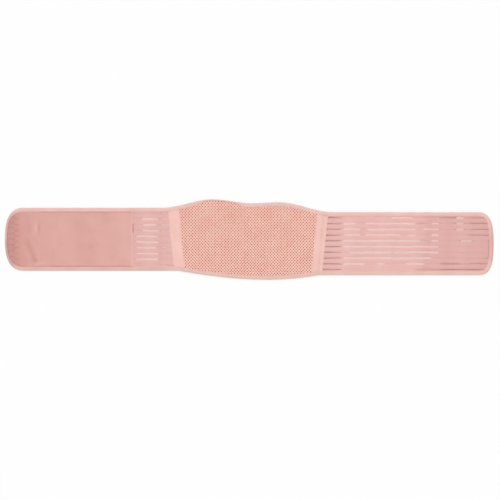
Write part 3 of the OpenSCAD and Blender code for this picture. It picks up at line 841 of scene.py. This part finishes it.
def pad_shade(x, y, z):
    """Painted shade and light: creases and dents are painted darker and humps paler, a painted shadow runs
    in the gap at the inner edge, and a dark line, part stitching and part painted shadow, runs beside the
    binding;
    the inner edge is painted paler against the shade of its slope, and the pad darkens towards its outer end
    and pales inwards.
    """
    inner_gap_shadow = span(x, pad_inner_x - 1.6 * mm, pad_inner_x + mm, mm) * span(y, 15 * mm, 33 * mm, 3 * mm)
    stitch_and_shadow_line = mound(np.abs(y - wing_y[-1]), wing_half - 9 * mm, 1.5 * mm)
    return (0.26 * pad_relief(x, y) / mm - 0.9 * inner_gap_shadow
            - 0.34 * stitch_and_shadow_line * ease((x + 480 * mm) / (60 * mm))
            + 0.05 * ease((x + 400 * mm) / (150 * mm)) - 0.2 * np.exp(-(x - pad_outer_x) / (20 * mm))
            + 0.25 * ease((x - pad_inner_x + 7 * mm) / (7 * mm)))


end_steps = np.array((0, 0.3, 0.8, 1.4, 2.0)) * mm
pad_xs = np.concatenate([pad_outer_x + end_steps,
                         np.linspace(pad_outer_x + 4 * mm, pad_inner_x - 4 * mm, 124),
                         pad_inner_x - end_steps[::-1]])
pad_rings = np.stack([pad_ring(x) for x in pad_xs])
pad = tube("loop_pad", pad_rings, ring_uv(pad_rings))
pad.data.materials.append(brushed_loop)
pad_parts = {"left_pad_inner_fold": ("loop_pad_root", 0.089, "loop_pad_inner"),
             "left_pad_outer_fold": ("loop_pad_end", 0.1655, "loop_pad_outer")}
for joint, part in cut_at_joints(pad, {joint: row[0] for joint, row in pad_parts.items()}).items():
    _, length, node = pad_parts[joint]
    paint(part, pad_shade)
    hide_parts(node, "loop_pad_middle")

# ---- Hook patch --------------------------------------------------------------------------
# The hook tape is sewn behind the other end: a woven base with rows of small hooks facing down.
# It closes the openings of the elastic above it, and grips the loop pad when the belt is worn.
patch_margin = 8.6 * mm
patch_half = wing_half - patch_margin
patch_top, patch_thick, hook_z = 0.78 * mm, 0.3 * mm, 0.34 * mm
hook_pitch_x, hook_pitch_y = 1.9 * mm, 1.7 * mm
hook_base = cloth_finish("hook_tape_base", (206, 156, 148), (184, 132, 124), (700, 700), 0.00012)


def patch_place(u, v):
    x = patch_low + (patch_high + 3 * mm - patch_low) * u
    y = wing_y[1] + (2 * v - 1) * np.minimum(patch_half, end_half(1, x, patch_margin))
    return laid(x, y, patch_top)


def patch_shade(x, y, z):
    """Painted light on the patch's top, under the openings that stay wide, so that they look pale."""
    painted_pale = sum(sum(spans(gaping, 1, row, x, 2 * mm)) * span(y - wing_y[1] - row_ys[row], -3 * mm, 3 * mm)
                for row in range(row_count))
    return 0.95 * (z > 0.7 * mm) * painted_pale


patch = shaped_grid("hook_patch_base", 60, 60, patch_place)
thicken(patch, patch_thick)
patch.data.materials.append(hook_base)
paint(patch, patch_shade)
bpy.ops.mesh.primitive_torus_add(major_segments=6, minor_segments=3, major_radius=0.22 * mm,
                                 minor_radius=0.08 * mm, rotation=(math.pi / 2, 0, 0))
hook_unit = bpy.context.object
bpy.ops.object.transform_apply(location=False, rotation=True, scale=False)
hook_xs = np.arange(patch_low + 3 * mm, patch_high - 2 * mm, hook_pitch_x)
hook_ys = np.arange(wing_y[1] - patch_half + 3 * mm, wing_y[1] + patch_half - 2 * mm, hook_pitch_y)
hook_places = [(x, y, hook_z) for column, x in enumerate(hook_xs)
               for y in hook_ys + hook_pitch_y / 2 * (column % 2)
               if abs(y - wing_y[1]) < end_half(1, x, 11 * mm)]
hooks = repeat("hook_patch_hooks", hook_unit, hook_places)
hooks.data.materials.append(
    cloth_finish("hook_nylon", (236, 206, 198), (224, 190, 182), (300, 300), 0.00001, 0.3, 0.4, 0))
bpy.data.objects.remove(hook_unit)
for piece in (patch, hooks):
    bend_with(piece)
    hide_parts("hook_patch")

# ---- Edge binding ------------------------------------------------------------------------
# One elastic tape is folded over the whole edge and sewn through both its flanges. It grips the
# panel's three layers and the single elastic, so it is thicker along the panel than along the wings.
def corner_curve(side):
    """One rounded end, from the top edge to the bottom edge, as x, y."""
    length, square = end_form[side]
    t = np.linspace(math.pi / 2, -math.pi / 2, 240)
    x = tip_x[side] - side * length + side * length * np.abs(np.cos(t)) ** (2 / square)
    y = wing_y[side] + wing_half * np.sign(np.sin(t)) * np.abs(np.sin(t)) ** (2 / square)
    return np.stack([x, y], 1)


edge_x = np.linspace(tip_x[-1] + end_form[-1][0], tip_x[1] - end_form[1][0], 2400)[1:-1]
outline = np.concatenate([np.stack([edge_x, top_y(edge_x)], 1), corner_curve(1),
                          np.stack([edge_x, bottom_y(edge_x)], 1)[::-1], corner_curve(-1)[::-1]])
outline = np.concatenate([outline, outline[:1]])
travelled = np.concatenate([[0], np.cumsum(np.hypot(*np.diff(outline, axis=0).T))])
# The tape has two rings of points to a stitch, and a whole number of stitches
stitch_count = round(travelled[-1] / (3 * mm))
stitch_pitch = travelled[-1] / stitch_count
ring_at = np.arange(2 * stitch_count + 1) * stitch_pitch / 2
path = np.stack([np.interp(ring_at, travelled, outline[:, k]) for k in (0, 1)], 1)
path[-1] = path[0]
forward = np.gradient(np.concatenate([path[-2:-1], path, path[1:2]]), axis=0)[1:-1]
forward[0] = forward[-1] = forward[0] + forward[-1]
forward /= np.linalg.norm(forward, axis=1)[:, None]
inward = np.stack([forward[:, 1], -forward[:, 0]], 1)
# Each point of the folded tape, in millimetres: how far in from the edge, and how high over or under
# the cloth
folded_top = [(8.9, 0.10), (8.75, 0.55), (8.2, 0.80), (7.2, 0.72), (5.0, 0.84), (2.8, 0.72), (1.3, 0.36),
              (0.35, -0.25)]
folded_under = [(0.35, 0.75), (1.2, 0.35), (2.6, 0.20), (7.2, 0.26), (8.3, 0.20), (8.75, 0.36), (8.9, 0.70)]
inside_under, inside_top = [(8.4, 0.78), (1.6, 0.78)], [(1.6, 0.0), (8.4, 0.0)]
stitch_line = 7.2
# Over the loop-side shoulder, and less at the loop-side end, the tape has rolled to the back
over_shoulder = span(path[:, 0], -103 * mm, -20 * mm, 22 * mm) * (path[:, 1] > 40 * mm)
at_loop_end = (path[:, 0] < tip_x[-1] + end_form[-1][0]) * span(path[:, 1], -56 * mm, 54 * mm, 30 * mm)
shown_share = 1 - 0.62 * over_shoulder - 0.45 * at_loop_end


def at_depth(depth, height, over):
    """One point of the fold at every ring. The upper flange narrows where the tape has rolled to the back."""
    place = path + inward * depth * mm * (shown_share[:, None] if over else 1)
    lift = cloth_top(place[:, 0], place[:, 1]) + tape_rise(place[:, 0], place[:, 1]) if over else 0
    pinch = 0.10 * mm * np.cos(2 * np.pi * ring_at / stitch_pitch) * mound(depth, stitch_line, 1.3)
    wander = 0.05 * mm * np.sin(ring_at / (6.3 * mm)) * (depth / 9)
    return np.column_stack([place, lift + height * mm + (wander - pinch if over else pinch)])


def binding_shade(x, y, z):
    """Painted shade: the binding is darker along the loop side's lower edge, which faces away from the light,
    and round both ends, where it turns away from the light.
    """
    low_edge = (y < middle_y(x)) * ease((-140 * mm - x) / (60 * mm))
    loop_end, hook_end = ease((tip_x[-1] + 26 * mm - x) / (16 * mm)), ease((x - tip_x[1] + 9 * mm) / (5 * mm))
    return -0.13 * low_edge - 0.24 * loop_end - 0.26 * hook_end


rim = at_depth(0.0, 0.0, True)
rim[:, 2] = rim[:, 2] * 0.5 + 0.3 * mm
binding_rings = np.stack([at_depth(d, h, True) for d, h in folded_top] + [rim]
                         + [at_depth(d, h, False) for d, h in folded_under + inside_under]
                         + [at_depth(d, h, True) for d, h in inside_top], axis=1)
binding = tube("edge_binding", binding_rings, ring_uv(binding_rings))
bound_edge = cloth_finish("edge_binding_tape", (240, 200, 191), (222, 178, 169), (700, 520), 0.00012,
                          0.6, 0.85, 0.15)
binding.data.materials.append(bound_edge)
# Each stretch lies over two neighbouring solids, from the centre out to each end
left_chain = ["centre", "left_side", "left_wing", "left_pad", "left_tail", "left_end"]
right_chain = ["centre", "right_side", "right_wing", "right_reach", "right_tail", "right_end"]
neighbours = list(zip(left_chain, left_chain[1:])) + list(zip(right_chain, right_chain[1:]))
binding_parts = cut_at_joints(binding, {row[0]: "binding_" + row[0] for row in stretches})
for part, (inner, outer) in zip(binding_parts.values(), neighbours):
    paint(part, binding_shade)
    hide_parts(inner + "_binding", outer + "_binding")

# ---- Stitching ---------------------------------------------------------------------------
# Lockstitch rows in pink thread: round the binding, along both edges of the tapes, across the
# elastic at the backing strips and the hook patch, round the pad, and down the stay channels.
bpy.ops.mesh.primitive_uv_sphere_add(segments=6, ring_count=4, radius=1)
stitch_unit = bpy.context.object
stitch_unit.scale = (1.25 * mm, 0.22 * mm, 0.17 * mm)
bpy.ops.object.transform_apply(location=False, rotation=False, scale=True)
pink_thread = cloth_finish("pink_thread", (240, 196, 186), (218, 168, 158), (3000, 3000), 0.00003,
                           0.5, 0.6, 0.1)
under_cloth, row_short = 0.26 * mm, 10 * mm


def sew(name, rows):
    """Lays a stitch at each place, turned along its row, in one piece for each stretch of the belt."""
    places, turns = (np.concatenate([row[k] for row in rows]) for k in (0, 1))
    for joint, low, high, _, _ in stretches:
        here = (places[:, 0] >= low) & (places[:, 0] < high)
        if here.any():
            stitches = repeat(f"{name}_{joint}", stitch_unit, places[here], turns[here])
            stitches.data.materials.append(pink_thread)
            bend_with(stitches)


def row_between(start, end, height):
    """Stitches in a straight row; height(x, y) gives the surface they lie on."""
    start, end = np.array(start), np.array(end)
    count = max(2, round(np.linalg.norm(end - start) / stitch_pitch))
    middle = start + (end - start) * ((np.arange(count) + 0.5) / count)[:, None]
    turn = math.atan2(*(end - start)[::-1])
    return np.column_stack([middle, height(middle[:, 0], middle[:, 1])]), np.full(count, turn)


def across_wing(side, x, margin, z):
    """A row straight across a wing at one height, from margin inside one edge to margin inside the other."""
    ends = [(x, wing_y[side] + end * (wing_half - margin)) for end in (-1, 1)]
    return row_between(*ends, lambda x, y: 0 * x + z)


half_way = slice(1, None, 2)
binding_turns = np.arctan2(forward[:, 1], forward[:, 0])[half_way]
sew("binding_stitches", [(at_depth(stitch_line, 0.72, True)[half_way], binding_turns),
                         (at_depth(stitch_line, 0.20, False)[half_way], binding_turns)])
tape_rows, cross_rows = [], []
for side in side_word:
    seam_middle = spine_x + side * seam_half
    end_ys = bottom_y(seam_middle) + row_short, top_y(seam_middle) - row_short
    for edge in (-tape_sewn, tape_sewn):
        ends = [(seam_x(side, y) + edge, y) for y in end_ys]
        tape_rows += [row_between(*ends, lambda x, y: cloth_top(x, y) + tape_thick - 0.14 * mm),
                      row_between(*ends, lambda x, y: 0 * x + under_cloth)]
    for x in (backing_outer[side] - side * 1.2 * mm,) + ((patch_low + 1.5 * mm,) if side > 0 else ()):
        cross_rows += [across_wing(side, x, row_short, z) for z in (wing_top + 0.05 * mm, under_cloth)]
sew("tape_stitches", tape_rows)
sew("cross_stitches", cross_rows)
channel_rows = []
for offset in channel_offsets:
    x = spine_x + offset
    ends = [(x, bottom_y(x) + 11 * mm), (x, top_y(x) - 11 * mm)]
    channel_rows.append(row_between(*ends, lambda x, y: lining_height(x, y) - lining_thick - 0.02 * mm))
sew("channel_stitches", channel_rows)
sew("pad_stitches", [across_wing(-1, x, 12 * mm, pad_top - 0.28 * mm)
                     for x in (pad_inner_x - 2.6 * mm, pad_outer_x + 2.6 * mm)])
bpy.data.objects.remove(stitch_unit)

# ---- Floor, light and camera -------------------------------------------------------------
# A white floor under soft light from above; the camera looks straight down through a long lens.
bpy.ops.mesh.primitive_plane_add(size=16, location=(0, 0, -0.1 * mm))
floor = bpy.context.object
floor.name = "studio_floor"
# When the belt closes round the wearer its folds go down, so the floor keeps just under the lowest of them
fold_places = [(joint["child"], joint["pos_m"][0]) for joint in frame["joints"]]
for body, x in fold_places + [("left_end", tip_x[-1]), ("right_end", tip_x[1])]:
    marker = bpy.data.objects.new("fold_marker", None)
    bpy.context.collection.objects.link(marker)
    marker.location = (x, 0, 6 * mm)
    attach(marker, body)
    keep_under = floor.constraints.new("FLOOR")
    keep_under.target, keep_under.floor_location = marker, "FLOOR_NEGATIVE_Z"


def sees_white(tree):
    """1 for rays from the camera, and for rays off gloss and through glass."""
    ray = add_node(tree, "LightPath").outputs
    return add_math(tree, "MAXIMUM", ray["Is Camera Ray"],
                    add_math(tree, "MAXIMUM", ray["Is Glossy Ray"], ray["Is Transmission Ray"]))


white = bpy.data.materials.new("studio_white")
world = bpy.data.worlds.new("studio")
white.use_nodes = world.use_nodes = True
floor.data.materials.append(white)
bpy.context.scene.world = world
floor_tree, sky_tree = white.node_tree, world.node_tree
matt = floor_tree.nodes["Principled BSDF"]
feed(floor_tree, matt, {"Base Color": (1, 1, 1, 1), "Roughness": 1, "Specular IOR Level": 0})
glow_share = add_math(floor_tree, "MULTIPLY", sees_white(floor_tree), 0.7)
glow = add_node(floor_tree, "Emission")
lit = add_node(floor_tree, "MixShader", {0: glow_share, 1: matt.outputs[0], 2: glow.outputs[0]})
feed(floor_tree, floor_tree.nodes["Material Output"], {"Surface": lit.outputs[0]})
sky_strength = add_node(sky_tree, "MapRange", {"Value": sees_white(sky_tree), "To Min": 0.55, "To Max": 1.0})
feed(sky_tree, sky_tree.nodes["Background"], {
    "Color": (1, 1, 1, 1), "Strength": sky_strength.outputs["Result"]})


def soft_sun(name, strength, spread, come_from):
    lamp = bpy.data.lights.new(name, "SUN")
    lamp.energy, lamp.angle = strength, math.radians(spread)
    holder = bpy.data.objects.new(name, lamp)
    bpy.context.collection.objects.link(holder)
    holder.rotation_euler = Vector(come_from).to_track_quat("Z", "Y").to_euler()


soft_sun("window_light", 1.30, 30, (-0.6, 1.0, 1.3))
soft_sun("fill_light", 0.50, 60, (0.8, -1.2, 1.6))

scene = bpy.context.scene
scene.view_settings.view_transform = "Standard"
lens = bpy.data.cameras.new("studio_camera")
camera = bpy.data.objects.new("studio_camera", lens)
scene.collection.objects.link(camera)
scene.camera = camera
lens.sensor_width, lens.lens, lens.clip_end = 36, 180, 50
frame_width = 1.0747
camera.location = (1.6 * mm, -22.6 * mm, frame_width * lens.lens / lens.sensor_width)
